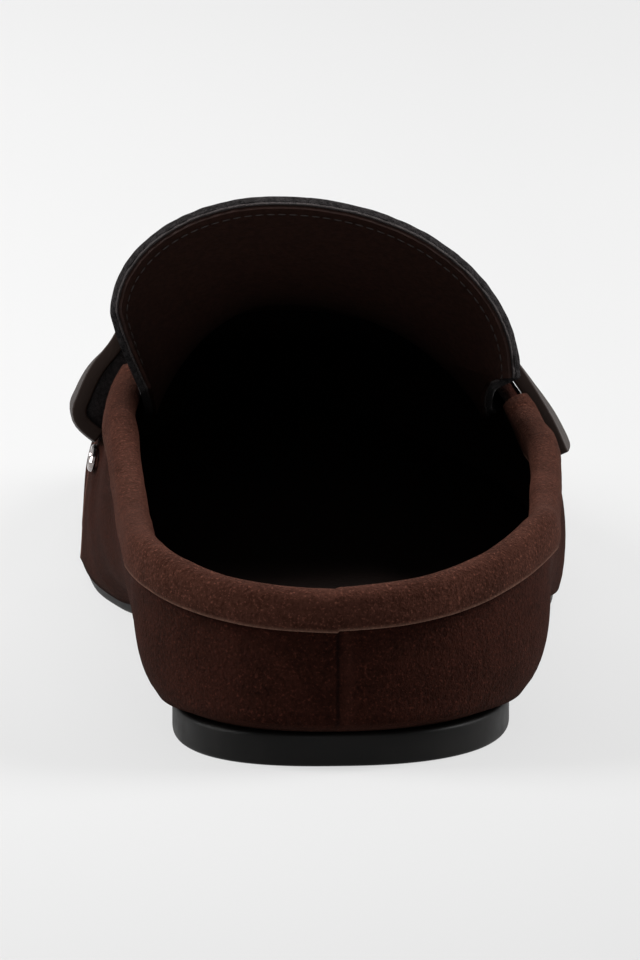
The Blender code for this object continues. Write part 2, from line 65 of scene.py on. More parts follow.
def add_camera():
    ahead = Vector((
        math.sin(CAMERA_YAW) * math.cos(CAMERA_ELEVATION),
        math.cos(CAMERA_YAW) * math.cos(CAMERA_ELEVATION),
        -math.sin(CAMERA_ELEVATION),
    ))
    right = Vector((math.cos(CAMERA_YAW), -math.sin(CAMERA_YAW), 0.0))
    up = right.cross(ahead)
    scale = CAMERA_DISTANCE / FOCAL_PX
    aside = (HEEL_BACK_PX[0] - IMAGE_CENTRE[0]) * scale
    above = (IMAGE_CENTRE[1] - HEEL_BACK_PX[1]) * scale
    data = bpy.data.cameras.new("camera")
    data.sensor_width = SENSOR_WIDTH_MM
    data.lens = FOCAL_PX / IMAGE_HEIGHT * data.sensor_width
    data.clip_start = 0.05
    data.clip_end = 30.0
    camera = bpy.data.objects.new("camera", data)
    camera.location = HEEL_BACK - ahead * CAMERA_DISTANCE - right * aside - up * above
    camera.rotation_euler = ahead.to_track_quat("-Z", "Y").to_euler()
    bpy.context.scene.collection.objects.link(camera)
    bpy.context.scene.camera = camera


add_camera()


# Outsole
# One moulded unit of smooth black rubber under heel, waist and forefoot, cemented under the lasted
# upper. Its side is satin, with a little dust in the pores.

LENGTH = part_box("outsole")[1].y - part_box("outsole")[0].y
BALL_WIDTH = 88 * MM
HEEL_THICKNESS = 6 * MM
HEEL_CENTRE = 0.130 * LENGTH
HEEL_ARC = 0.137 * LENGTH
TOE_ARC = 0.267 * LENGTH
HEEL_POWER = 2.25
SOLE_POWER = 2.50
TOE_POWER = 2.25
RIDGE_BACK = 0.56 * HEEL_ARC
RIDGE_FRONT = 0.54 * TOE_ARC
RIDGE_EASE = 0.55
THIN_EASE = 0.6
SOLE_EDGE = 0.8 * MM
SOLE_HEEL_STEPS = 48
SOLE_SIDE_GAP = 2.5 * MM
SOLE_TOE_STEPS = 36
SOLE_SIDE_ROWS = (0.25, 0.5, 0.75)
FLAT_ROWS = (1.0, 0.7, 0.4, 0.15)
EDGE_TURNS = np.linspace(0, math.pi / 2, 5)
LONGEST_EDGE = 10 * MM
SAME_PLACE = 0.001 * MM
RUBBER_BLACK = (0.0046, 0.0044, 0.0042)
RUBBER_DUSTY = (0.0090, 0.0080, 0.0075)

# The whole shoe follows one last. Its tables give shares of the named sizes, with a row per section
# from the heel back to the toe.
SOLE = (
    # along, centre, half_width, overhang
    (0.000, -0.030, 0.346, 0.90),
    (0.060, -0.014, 0.347, 0.90),
    (0.130, 0.000, 0.347, 0.90),
    (0.200, 0.008, 0.342, 0.90),
    (0.270, 0.020, 0.334, 0.90),
    (0.345, 0.040, 0.348, 0.70),
    (0.420, 0.054, 0.398, 0.50),
    (0.495, 0.042, 0.468, 0.30),
    (0.570, 0.024, 0.503, 0.30),
    (0.630, 0.017, 0.508, 0.30),
    (0.690, 0.013, 0.502, 0.30),
    (0.745, 0.007, 0.493, 0.30),
    (0.800, -0.005, 0.474, 0.30),
    (0.860, -0.019, 0.443, 0.30),
    (0.920, -0.036, 0.408, 0.30),
    (1.000, -0.057, 0.352, 0.30),
)
SOLE_LEVELS = (
    # along, top, ground
    (0.000, 1.000, 0.000),
    (0.230, 1.000, 0.000),
    (0.255, 0.985, 0.000),
    (0.273, 0.970, 0.400),
    (0.345, 0.930, 0.400),
    (0.430, 0.820, 0.230),
    (0.510, 0.700, 0.020),
    (0.545, 0.660, 0.000),
    (0.720, 0.640, 0.000),
    (0.800, 0.740, 0.110),
    (0.880, 1.030, 0.410),
    (0.950, 1.450, 0.840),
    (1.000, 1.830, 1.230),
)
RIDGE = (
    # along, height, side, power
    (0.000, 1.360, 0.000, 3.20),
    (0.220, 1.330, -0.020, 3.30),
    (0.380, 1.190, -0.070, 2.60),
    (0.440, 1.090, -0.080, 2.10),
    (0.495, 0.980, -0.080, 2.06),
    (0.555, 0.895, -0.080, 2.14),
    (0.615, 0.805, -0.078, 2.26),
    (0.690, 0.695, -0.075, 2.28),
    (0.765, 0.608, -0.070, 2.28),
    (0.840, 0.548, -0.066, 2.38),
    (0.920, 0.510, -0.062, 2.50),
    (1.000, 0.500, -0.057, 2.50),
)


class Look:
    """A finish for one piece, whose patterns read object coordinates."""

    def __init__(self, name, roughness=0.8):
        self.material = bpy.data.materials.new(name)
        self.material.use_nodes = True
        self.tree = self.material.node_tree
        self.shader = self.tree.nodes["Principled BSDF"]
        self.shader.inputs["Roughness"].default_value = roughness
        self.place = self.tree.nodes.new("ShaderNodeTexCoord").outputs["Object"]
        self.relief = None

    def set(self, **values):
        for name, value in values.items():
            self.shader.inputs[name.replace("_", " ")].default_value = value

    def link(self, source, socket):
        self.tree.links.new(source, socket)

    def noise(self, size, detail=3.0, rough=0.55, warp=0.0):
        """Noise whose patches are about this size, in metres."""
        mapping = self.tree.nodes.new("ShaderNodeMapping")
        mapping.inputs["Scale"].default_value = [1.0 / size] * 3
        self.link(self.place, mapping.inputs["Vector"])
        node = self.tree.nodes.new("ShaderNodeTexNoise")
        node.inputs["Scale"].default_value = 1.0
        node.inputs["Detail"].default_value = detail
        node.inputs["Roughness"].default_value = rough
        node.inputs["Distortion"].default_value = warp
        self.link(mapping.outputs["Vector"], node.inputs["Vector"])
        return node.outputs["Fac"]

    def ramp(self, source, low, high, dark=0.0, light=1.0):
        """Straight stretch of a value from low..high to dark..light."""
        node = self.tree.nodes.new("ShaderNodeMapRange")
        node.inputs["From Min"].default_value = low
        node.inputs["From Max"].default_value = high
        node.inputs["To Min"].default_value = dark
        node.inputs["To Max"].default_value = light
        self.link(source, node.inputs["Value"])
        return node.outputs["Result"]

    def math(self, operation, first, second):
        node = self.tree.nodes.new("ShaderNodeMath")
        node.operation = operation
        for number, value in enumerate((first, second)):
            if isinstance(value, (int, float)):
                node.inputs[number].default_value = value
            else:
                self.link(value, node.inputs[number])
        return node.outputs["Value"]

    def mix(self, factor, first, second):
        """Colour between two colours or colour outputs, by the output that factor is."""
        node = self.tree.nodes.new("ShaderNodeMix")
        node.data_type = "RGBA"
        for name, value in (("A", first), ("B", second)):
            socket = [s for s in node.inputs if s.name == name and s.type == "RGBA"][0]
            if isinstance(value, tuple):
                socket.default_value = (*value, 1.0)
            else:
                self.link(value, socket)
        socket = [s for s in node.inputs if s.name == "Factor" and s.type == "VALUE"][0]
        self.link(factor, socket)
        return [s for s in node.outputs if s.type == "RGBA"][0]

    def attribute(self, name):
        node = self.tree.nodes.new("ShaderNodeAttribute")
        node.attribute_name = name
        return node.outputs["Fac"]

    def colour(self, source):
        self.link(source, self.shader.inputs["Base Color"])

    def roughness(self, source):
        self.link(source, self.shader.inputs["Roughness"])

    def bump(self, height, distance, strength=1.0):
        """Adds relief of this depth, in metres, over what is there."""
        node = self.tree.nodes.new("ShaderNodeBump")
        node.inputs["Strength"].default_value = strength
        node.inputs["Distance"].default_value = distance
        self.link(height, node.inputs["Height"])
        if self.relief:
            self.link(self.relief, node.inputs["Normal"])
        self.relief = node.outputs["Normal"]
        self.link(self.relief, self.shader.inputs["Normal"])


def read(table, column, along):
    """Smooth values of one column at shares of the length."""
    places = np.array([row[0] for row in table])
    values = np.array([row[column] for row in table])
    steps = np.diff(places)
    rates = np.diff(values) / steps
    slopes = np.concatenate((rates[:1], rates[:-1], rates[-1:]))
    product = rates[:-1] * rates[1:]
    total = np.where(product > 0, rates[:-1] + rates[1:], 1.0)
    slopes = np.concatenate((rates[:1], np.where(product > 0, 2 * product / total, 0.0), rates[-1:]))
    along = np.clip(np.asarray(along, float), places[0], places[-1])
    index = np.clip(np.searchsorted(places, along, side="left") - 1, 0, len(steps) - 1)
    t = (along - places[index]) / steps[index]
    rise = values[index + 1] - values[index]
    bend = t * (1 - t) * ((1 - t) * slopes[index] - t * slopes[index + 1]) * steps[index]
    return values[index] + t * t * (3 - 2 * t) * rise + bend


def outline(table, side, place, power, back=0.0, front=0.0, thin=0.0):
    """Plan points of an outline, with rounded heel and toe, or of one this much narrower."""
    width = read(table, 2, place / LENGTH) * BALL_WIDTH
    heel = np.clip(place / HEEL_ARC, 0, 1)
    toe = np.clip((LENGTH - place) / TOE_ARC, 0, 1)
    width = width * (1 - (1 - heel) ** power) ** (1 / power)
    width = width * (1 - (1 - toe) ** TOE_POWER) ** (1 / TOE_POWER)
    if thin:
        width = width - thin * np.tanh(THIN_EASE * width / thin)
    y = place - back * (1 - heel) + front * (1 - toe)
    centre = read(table, 1, y / LENGTH) * BALL_WIDTH
    return np.stack((centre + side * width, y), -1)


def ridge_point(place):
    """Plan points of the ridge that places on the outline lead to."""
    heel = np.arccos(np.clip(1 - place / HEEL_ARC, 0, 1) ** (HEEL_POWER / 2))
    back = HEEL_ARC - RIDGE_BACK * (1 - np.exp(-(math.pi / 2 - heel) / RIDGE_EASE))
    toe = np.arcsin(np.clip((place - LENGTH + TOE_ARC) / TOE_ARC, 0, 1) ** (TOE_POWER / 2))
    front = LENGTH - TOE_ARC + RIDGE_FRONT * (1 - np.exp(-toe / RIDGE_EASE))
    y = np.where(place < HEEL_ARC, back, np.where(place > LENGTH - TOE_ARC, front, place))
    return np.stack((read(RIDGE, 2, y / LENGTH) * BALL_WIDTH, y), -1)


def sole_level(column, y):
    return read(SOLE_LEVELS, column, y / LENGTH) * HEEL_THICKNESS


def station_places(heel_steps, side_gap, toe_steps, extra=()):
    """Places from the heel back to the toe tip, closest together near the heel back."""
    heel = [HEEL_ARC * (1 - math.cos(math.pi / 2 * (n / heel_steps) ** 1.5) ** (2 / HEEL_POWER))
            for n in range(heel_steps)]
    count = round((LENGTH - TOE_ARC - HEEL_ARC) / side_gap)
    side = list(np.linspace(HEEL_ARC, LENGTH - TOE_ARC, count, endpoint=False)) + list(extra)
    toe = [LENGTH - TOE_ARC + TOE_ARC * math.sin(math.pi / 2 * n / toe_steps) ** (2 / TOE_POWER)
           for n in range(toe_steps + 1)]
    return np.array(heel + sorted(side) + toe)


def around(places):
    """Sides and places of the columns: heel back, medial side, toe tip, lateral side."""
    side = np.concatenate((-np.ones(len(places)), np.ones(len(places) - 2)))
    return side, np.concatenate((places, places[-2:0:-1]))


def strip_faces(rows, columns, wrap=False):
    """Faces of a grid, closed round its columns if wrap."""
    return [
        (r * columns + c, r * columns + (c + 1) % columns,
         (r + 1) * columns + (c + 1) % columns, (r + 1) * columns + c)
        for r in range(rows - 1) for c in range(columns if wrap else columns - 1)
    ]


def add_piece(name, points, faces, look, slot, merge=False, **attributes):
    """One mesh piece on the shoe, with smooth faces pointing outwards; merge joins points that meet."""
    mesh = bpy.data.meshes.new(name)
    mesh.from_pydata([tuple(p) for p in points], [], faces)
    for key, values in attributes.items():
        data = mesh.attributes.new(key, "FLOAT", "POINT").data
        data.foreach_set("value", np.asarray(values, np.float32))
    work = bmesh.new()
    work.from_mesh(mesh)
    loose = [v for v in work.verts if not v.link_faces]
    bmesh.ops.delete(work, geom=loose, context="VERTS")
    if merge:
        bmesh.ops.remove_doubles(work, verts=work.verts, dist=SAME_PLACE)
    bmesh.ops.recalc_face_normals(work, faces=work.faces)
    work.to_mesh(mesh)
    work.free()
    mesh.shade_smooth()
    mesh.materials.append(look.material)
    piece = bpy.data.objects.new(name, mesh)
    bpy.context.scene.collection.objects.link(piece)
    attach(piece, "root")
    return piece


def drawn_in(edge, way, inset):
    """Plan points moved in from an edge: by a share of the way to the ridge, or by a short length."""
    if inset <= LONGEST_EDGE:
        inset = np.minimum(inset / np.linalg.norm(way, axis=-1, keepdims=True), 0.5)
    return edge + way * inset


def sole_profile():
    """Rows of the sole from its ground's middle round the edge: inset, rise and where it starts."""
    profile = [(share, 0.0, "ground") for share in FLAT_ROWS]
    profile += [(SOLE_EDGE * (1 - math.sin(t)), SOLE_EDGE * (1 - math.cos(t)), "ground") for t in EDGE_TURNS]
    profile += [(0.0, share, "side") for share in SOLE_SIDE_ROWS]
    profile += [(SOLE_EDGE * (1 - math.cos(t)), -SOLE_EDGE * (1 - math.sin(t)), "top") for t in EDGE_TURNS]
    return profile + [(share, 0.0, "top") for share in FLAT_ROWS[::-1]]


def add_outsole():
    side, place = around(station_places(SOLE_HEEL_STEPS, SOLE_SIDE_GAP, SOLE_TOE_STEPS))
    edge = outline(SOLE, side, place, SOLE_POWER)
    way = ridge_point(place) - edge
    rings = []
    for inset, rise, start in sole_profile():
        plan = drawn_in(edge, way, inset)
        top = sole_level(1, plan[:, 1])
        ground = sole_level(2, plan[:, 1])
        level = {"ground": ground + rise, "side": ground + (top - ground) * rise, "top": top + rise}
        rings.append(np.column_stack((plan[:, 0], plan[:, 1] - HEEL_CENTRE, level[start])))
    look = Look("black rubber", 0.5)
    dust = look.ramp(look.noise(7 * MM, 4.0, 0.6), 0.4, 0.75)
    grain = look.noise(0.5 * MM, 3.0, 0.6)
    look.colour(look.mix(look.math("MULTIPLY", dust, 0.5), RUBBER_BLACK, RUBBER_DUSTY))
    look.roughness(look.ramp(dust, 0.0, 1.0, 0.44, 0.60))
    look.bump(grain, 0.03 * MM, 0.4)
    look.set(Specular_IOR_Level=0.09)
    faces = strip_faces(len(rings), len(place), True)
    piece = add_piece("outsole_rubber", np.concatenate(rings), faces, look, "black_rubber", merge=True)
    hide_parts("outsole")


add_outsole()


# Insole
# The footbed inside the shoe: filler between the turned-in margins, covered in thin dark brown
# leather and cemented in last.

SEAT_GAP = 0.3 * MM
WALL = 2.0 * MM
FEATHER_OVERHANG = 2.6 * MM
INSOLE_THICKNESS = 2.2 * MM
INSOLE_CLEAR = 0.50 * MM
INSOLE_EDGE = 0.8 * MM
INSOLE_HEEL_STEPS = 40
INSOLE_SIDE_GAP = 3.0 * MM
INSOLE_TOE_STEPS = 30
FOOTBED_DARK = (0.0040, 0.0026, 0.0022)
FOOTBED_LIGHT = (0.0085, 0.0050, 0.0042)


def last_floor(y):
    return sole_level(1, y) + SEAT_GAP + WALL


def feather(side, place):
    """Plan points of the last's lower edge."""
    overhang = read(SOLE, 3, place / LENGTH) * FEATHER_OVERHANG
    point = outline(SOLE, side, place, HEEL_POWER)
    inward = ridge_point(place) - point
    inward /= np.linalg.norm(inward, axis=-1, keepdims=True)
    return point + inward * (WALL - overhang)[..., None]


def insole_profile():
    """Rows of the insole from its underside's middle round the edge: inset and rise."""
    profile = [(share, 0.0) for share in FLAT_ROWS] + [(INSOLE_CLEAR, 0.0)]
    for turn in EDGE_TURNS:
        inset = INSOLE_CLEAR + INSOLE_EDGE * (1 - math.cos(turn))
        profile.append((inset, INSOLE_THICKNESS - INSOLE_EDGE * (1 - math.sin(turn))))
    return profile + [(share, INSOLE_THICKNESS) for share in FLAT_ROWS[::-1]]


def add_insole():
    side, place = around(station_places(INSOLE_HEEL_STEPS, INSOLE_SIDE_GAP, INSOLE_TOE_STEPS))
    edge = feather(side, place)
    way = ridge_point(place) - edge
    rings = []
    for inset, rise in insole_profile():
        plan = drawn_in(edge, way, inset)
        z = last_floor(plan[:, 1]) + SEAT_GAP + rise
        rings.append(np.column_stack((plan[:, 0], plan[:, 1] - HEEL_CENTRE, z)))
    look = Look("footbed leather", 0.55)
    grain = look.ramp(look.noise(1.2 * MM, 4.0, 0.6), 0.3, 0.7)
    look.colour(look.mix(grain, FOOTBED_DARK, FOOTBED_LIGHT))
    look.bump(grain, 0.08 * MM, 0.5)
    look.set(Specular_IOR_Level=0.1)
    faces = strip_faces(len(rings), len(place), True)
    piece = add_piece("insole_leather", np.concatenate(rings), faces, look, "footbed_leather", merge=True)
    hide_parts("insole")


add_insole()


# Upper
# Dark brown suede, cut as quarters with a raw front edge that laps over the vamp, joined by a seam
# down the centre back and lasted over its stiff counter. The margin is turned in under the last.

INSTEP_HEIGHT = 68 * MM
BODY_POWER = 2.05
QUARTER_EXTRA = 0.7 * MM
BODY_BACK = 2.5 * MM
BODY_FRONT = 2.0 * MM
TUCK_HEIGHT = 4.5 * MM
THROAT = 0.500
THROAT_NEAR = 1e-6
NORMAL_TURN = 0.01
NORMAL_EDGE = 0.002
NORMAL_STEP = 1.0 * MM
NORMAL_LEAST = 0.005 * MM
RIDGE_FLAT = 0.003
UPPER_HEEL_STEPS = 56
UPPER_SIDE_GAP = 2.0 * MM
UPPER_TOE_STEPS = 30
UPPER_ROWS = 44
UPPER_ROWS_EASE = 1.15
MARGIN = 9.0 * MM
MARGIN_ROWS = (1.0, 0.7, 0.4, 0.12)
QUARTER_EDGE = 0.5808
QUARTER_EDGE_STEPS = (-4.0, -3.0, -2.2, -1.6, -1.1, -0.7, -0.4, -0.2, 0.05)
QUARTER_SLANT = 8.0 * MM
QUARTER_SLANT_REACH = 0.13
SEAM_DEPTH = 0.35 * MM
SEAM_HALF = 0.32 * MM
RIDGE_RISE = 0.12 * MM
RIDGE_ASIDE = 1.6 * MM
RIDGE_HALF = 1.0 * MM
LAP_RISE = 0.18 * MM
LAP_REACH = 2.4 * MM
SAG = 2.4 * MM
SAG_REACH = 0.05
SAG_FROM = (0.40, 0.50)
SEAM_UP_TO = 12 * MM
UNEVEN_WIDE = 0.22 * MM
UNEVEN_FINE = 0.10 * MM
UNEVEN_FROM = 0.12
SUEDE_DARK = (0.0052, 0.0015, 0.0009)
SUEDE_LIGHT = (0.0215, 0.0064, 0.0042)
# Colour of the painted highlight on the ridge beside the back seam.
SUEDE_RIDGE_HIGHLIGHT = (0.040, 0.014, 0.010)
SUEDE_CUT = (0.100, 0.052, 0.040)
SUEDE_SEAM = (0.003, 0.0015, 0.0015)
SUEDE_LINING = (0.004, 0.003, 0.003)
SHEEN_TINT = (0.80, 0.55, 0.45, 1.0)
CREASES = (
    # side, along, share at its middle, length along, height share, lean, depth in mm
    (-1, 0.470, 0.62, 0.030, 0.55, 0.060, -0.55),
    (-1, 0.515, 0.45, 0.022, 0.45, 0.040, 0.40),
    (-1, 0.330, 0.40, 0.045, 0.30, -0.050, -0.40),
    (-1, 0.220, 0.72, 0.060, 0.16, -0.020, -0.45),
    (1, 0.450, 0.60, 0.028, 0.50, 0.050, -0.60),
    (1, 0.400, 0.45, 0.022, 0.40, 0.030, 0.45),
    (1, 0.500, 0.40, 0.024, 0.38, 0.030, 0.35),
    (1, 0.240, 0.74, 0.060, 0.15, -0.020, -0.45),
    (-1, 0.060, 0.34, 0.050, 0.20, 0.000, -0.30),
    (1, 0.075, 0.50, 0.055, 0.16, 0.000, -0.25),
    (-1, 0.660, 0.55, 0.014, 0.30, 0.030, -0.35),
    (-1, 0.690, 0.55, 0.013, 0.28, 0.030, 0.25),
    (1, 0.655, 0.55, 0.014, 0.30, 0.030, -0.35),
    (1, 0.685, 0.55, 0.013, 0.28, 0.030, 0.25),
)
BODY = (
    # along, centre, half_width
    (0.000, -0.026, 0.422),
    (0.060, -0.012, 0.423),
    (0.130, 0.002, 0.425),
    (0.230, 0.010, 0.437),
    (0.345, 0.018, 0.464),
    (0.440, 0.014, 0.501),
    (0.550, 0.028, 0.523),
    (0.620, 0.031, 0.522),
    (0.680, 0.023, 0.510),
    (0.745, 0.010, 0.498),
    (0.800, -0.006, 0.484),
    (0.860, -0.020, 0.460),
    (0.920, -0.036, 0.424),
    (1.000, -0.057, 0.364),
)
TOPLINE = (
    # along, medial, lateral
    (0.000, 0.450, 0.455),
    (0.110, 0.519, 0.560),
    (0.210, 0.508, 0.505),
    (0.305, 0.560, 0.525),
    (0.380, 0.638, 0.560),
    (0.435, 0.662, 0.562),
    (0.463, 0.666, 0.566),
    (0.475, 0.690, 0.600),
    (0.488, 0.860, 0.840),
    (0.500, 0.980, 0.980),
)


def suede(name, dark, light, fibre=0.35):
    """Napped split leather: short fibres lie in brushed patches, lighter where they stand up."""
    look = Look(name, 0.95)
    patches = look.ramp(look.noise(9 * MM, 3.0, 0.6, warp=0.6), 0.35, 0.65)
    nap = look.ramp(look.noise(0.75 * MM, 4.0, 0.65), 0.30, 0.72)
    specks = look.ramp(look.noise(0.48 * MM, 2.0, 0.5), 0.57, 0.74)
    tone = look.math("MULTIPLY", patches, 0.35)
    tone = look.math("ADD", tone, look.math("MULTIPLY", nap, 0.65))
    base = look.mix(tone, dark, light)
    bright = tuple(min(1.0, 3.0 * c) for c in light)
    look.colour(look.mix(look.math("MULTIPLY", specks, fibre), base, bright))
    look.bump(nap, 0.22 * MM, 1.0)
    look.bump(look.noise(0.3 * MM, 2.0, 0.6), 0.08 * MM, 0.8)
    look.set(Sheen_Weight=0.02, Sheen_Roughness=0.5, Specular_IOR_Level=0.015)
    look.shader.inputs["Sheen Tint"].default_value = SHEEN_TINT
    return look


def top_angle(side, place):
    """Angle up the section at which the wall ends."""
    along = place / LENGTH
    floor = last_floor(place)
    medial = read(TOPLINE, 1, along)
    lateral = read(TOPLINE, 2, along)
    edge = np.where(side < 0, medial, lateral) * INSTEP_HEIGHT
    ridge = read(RIDGE, 1, along) * INSTEP_HEIGHT - WALL
    share = np.clip((edge - floor) / (ridge - floor), 0.0, 1.0)
    angle = np.arcsin(share ** (read(RIDGE, 3, along) / 2))
    return np.where(along >= THROAT - THROAT_NEAR, math.pi / 2, angle)


def last_face(side, place, angle):
    """Points on the last at angles up the section."""
    low = feather(side, place)
    wide = outline(BODY, side, place, BODY_POWER, BODY_BACK - WALL, BODY_FRONT - WALL, WALL)
    top = ridge_point(place)
    power = read(RIDGE, 3, top[..., 1] / LENGTH)
    inset = 1 - np.cos(angle) ** (2 / power)
    rise = np.sin(angle) ** (2 / power)
    floor = last_floor(low[..., 1])
    z = floor + (read(RIDGE, 1, low[..., 1] / LENGTH) * INSTEP_HEIGHT - WALL - floor) * rise
    for _ in range(2):
        tuck = (1 - np.exp(-(z - floor) / TUCK_HEIGHT))[..., None]
        base = low + (wide - low) * tuck
        plan = base + inset[..., None] * (top - base)
        ridge = read(RIDGE, 1, plan[..., 1] / LENGTH) * INSTEP_HEIGHT - WALL
        z = floor + (ridge - floor) * rise
    return np.concatenate((plan, z[..., None]), -1)


def last_normal(side, place, angle):
    """Outward directions of the last, from shorter steps near the heel back and the toe tip."""
    low = np.maximum(angle - NORMAL_TURN, NORMAL_EDGE)
    high = np.minimum(angle + NORMAL_TURN, math.pi / 2 - NORMAL_EDGE)
    up = last_face(side, place, high) - last_face(side, place, low)
    from_end = np.minimum(place, LENGTH - place)
    step = np.minimum(NORMAL_STEP, 0.3 * from_end + NORMAL_LEAST)
    back = np.maximum(place - step, 0.0)
    front = np.minimum(place + step, LENGTH)
    ahead = last_face(side, front, angle) - last_face(side, back, angle)
    normal = np.cross(ahead, up) * side[..., None]
    normal[..., 0] = np.where(angle > math.pi / 2 - RIDGE_FLAT, 0.0, normal[..., 0])
    return normal / np.linalg.norm(normal, axis=-1, keepdims=True)


def last(side, place, angle, out=0.0):
    """Points on the last or outside it, moved so that the origin is under the heel's centre."""
    given = [np.asarray(value, float) for value in (side, place, angle, out)]
    side, place, angle, out = np.broadcast_arrays(*given)
    points = last_face(side, place, angle) + out[..., None] * last_normal(side, place, angle)
    points[..., 1] -= HEEL_CENTRE
    return points


def ring_faces(rows, columns, zip_from=None):
    """Faces between closed rings; the last ring is zipped along the ridge from a column on."""

    def corner(row, column):
        column %= columns
        if zip_from is not None and row == rows - 1 and columns // 2 < column <= columns - zip_from:
            column = columns - column
        return row * columns + column

    return [
        (corner(r, c + 1), corner(r, c), corner(r + 1, c), corner(r + 1, c + 1))
        for r in range(rows - 1) for c in range(columns)
    ]


def wave(points, size, seed):
    """Smooth noise at each point, about -1 to 1, with patches of this size."""
    return np.array([noise.noise(Vector(p) / size + Vector((seed, 0.0, 0.0))) for p in points])


def slanted(place, share):
    near = np.clip(1 - abs(place / LENGTH - QUARTER_EDGE) / QUARTER_SLANT_REACH, 0, 1)
    ease = near * near * (3 - 2 * near) * (place / LENGTH > THROAT)
    return place + QUARTER_SLANT * (1 - 2 * share) * ease


def back_seam(points):
    """Height of the centre back seam over the leather, how strongly its line shows, and the ridge beside it,
    where the suede gets a painted highlight.
    """
    back = points[:, 1] < -HEEL_CENTRE + SEAM_UP_TO
    aside = points[:, 0] - read(BODY, 1, [0.0])[0] * BALL_WIDTH
    line = np.exp(-(aside / SEAM_HALF) ** 2) * back
    ridge = np.exp(-((aside - RIDGE_ASIDE) / RIDGE_HALF) ** 2) * back
    return RIDGE_RISE * ridge - SEAM_DEPTH * line, line, ridge


def creases(side, place, share):
    """Soft troughs and ridges where the leather settles, in metres."""
    height = np.zeros_like(place)
    for where, along, level, length, tall, lean, depth in CREASES:
        across = (place / LENGTH - along - lean * (share - level)) / length
        up = (share - level) / tall
        height += depth * MM * np.exp(-across ** 2 - up ** 2) * (side == where)
    return height


def add_upper():
    edge = QUARTER_EDGE * LENGTH
    begin, full = SAG_FROM
    near = [edge + step * MM for step in QUARTER_EDGE_STEPS] + [THROAT * LENGTH]
    places = station_places(UPPER_HEEL_STEPS, UPPER_SIDE_GAP, UPPER_TOE_STEPS, near)
    side, place = around(places)
    columns = len(place)
    throat = int(np.argmax(places / LENGTH >= THROAT - THROAT_NEAR))
    margins = []
    for inward in MARGIN_ROWS:
        low = feather(side, place)
        way = ridge_point(place) - low
        plan = low + way / np.linalg.norm(way, axis=-1, keepdims=True) * inward * MARGIN
        level = last_floor(plan[:, 1])
        margins.append(np.column_stack((plan[:, 0], plan[:, 1] - HEEL_CENTRE, level)))
    shares = np.linspace(0, 1, UPPER_ROWS) ** UPPER_ROWS_EASE
    inner, outer, line, ridge, lap = [], [], [], [], []
    for flat in margins:
        inner.append(flat)
        outer.append(flat - np.array((0, 0, WALL)))
    for share in shares:
        moved = slanted(place, share)
        angle = top_angle(side, place) * share
        face = last(side, moved, angle)
        skin = last(side, moved, angle, WALL)
        rise, seam, nap = back_seam(skin)
        uneven = UNEVEN_WIDE * wave(skin, 22 * MM, 3.0) + UNEVEN_FINE * wave(skin, 8 * MM, 9.0)
        rear = place < edge
        flare = np.exp(-((place - edge) / LAP_REACH) ** 2) * rear
        uneven = (uneven + creases(side, place, share)) * min(1.0, share / UNEVEN_FROM)
        out = WALL + (QUARTER_EXTRA + LAP_RISE * flare) * rear + rise + uneven
        inner.append(face)
        skin = last(side, moved, angle, out)
        sag = np.clip((place / LENGTH - begin) / (full - begin), 0, 1)
        skin[:, 2] -= SAG * sag * sag * (3 - 2 * sag) * math.exp(-(share / SAG_REACH) ** 2)
        outer.append(skin)
        line.append(seam)
        ridge.append(nap)
        lap.append(np.exp(-((place - edge) / (0.6 * LAP_REACH)) ** 2) * rear)
    rows = len(outer)
    points = np.concatenate(outer + inner)
    faces = ring_faces(rows, columns, throat)
    inside = rows * columns
    faces += [tuple(inside + index for index in face[::-1]) for face in faces]
    for column in range(columns):
        after = (column + 1) % columns
        faces.append((column, after, inside + after, inside + column))
        if column < throat or column >= columns - throat:
            top = (rows - 1) * columns
            faces.append((top + after, top + column, inside + top + column, inside + top + after))
    blank = np.zeros(columns * len(margins))
    seam = np.concatenate([blank] + line + [np.zeros(inside)])
    nap = np.concatenate([blank] + ridge + [np.zeros(inside)])
    cut = np.concatenate([blank] + lap + [np.zeros(inside)])
    lining = np.concatenate([np.zeros(inside), np.ones(inside)])
    look = suede("upper suede", SUEDE_DARK, SUEDE_LIGHT, 0.45)
    base = look.shader.inputs["Base Color"].links[0].from_socket
    # Painted highlight: the suede is lighter along the ridge beside the back seam, where the raised suede
    # catches the light.
    tone = look.mix(look.math("MULTIPLY", look.attribute("nap"), 0.16), base, SUEDE_RIDGE_HIGHLIGHT)
    tone = look.mix(look.math("MULTIPLY", look.attribute("cut"), 0.85), tone, SUEDE_CUT)
    tone = look.mix(look.math("MULTIPLY", look.attribute("seam"), 0.6), tone, SUEDE_SEAM)
    look.colour(look.mix(look.attribute("lining"), tone, SUEDE_LINING))
    piece = add_piece("upper_suede", points, faces, look, "brown_suede",
                      seam=seam, nap=nap, cut=cut, lining=lining)
    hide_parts("upper")


add_upper()


# Collar
# A strip of suede folded over the top edge and padded, cemented outside and in. Its lower edges are
# cut raw, so that a pale line of fibres shows along them.

COLLAR_OUT = 1.1 * MM
COLLAR_BULGE = 1.5 * MM
COLLAR_IN = 1.1 * MM
COLLAR_TOP = 1.8 * MM
COLLAR_DROP_OUT = 5.5 * MM
COLLAR_DROP_IN = 6.0 * MM
COLLAR_END = 0.475
COLLAR_EDGE_LIFT = 0.25 * MM
COLLAR_LEAN = 1.6 * MM
COLLAR_HEEL_STEPS = 40
COLLAR_SIDE_GAP = 1.3 * MM
COLLAR_TURNS = 8
COLLAR_PUCKER = 0.22 * MM
COLLAR_PUCKER_FINE = 0.10 * MM
COLLAR_DARK = (0.0130, 0.0042, 0.0026)
COLLAR_LIGHT = (0.043, 0.0160, 0.0108)
COLLAR_CUT = (0.21, 0.120, 0.088)
CUT_OUTSIDE = (1.0, 1.0, 1.0, 0.75, 0.45, 0.2, 0.05)
CUT_INSIDE = (0.6, 0.6, 0.6, 0.6, 0.6)


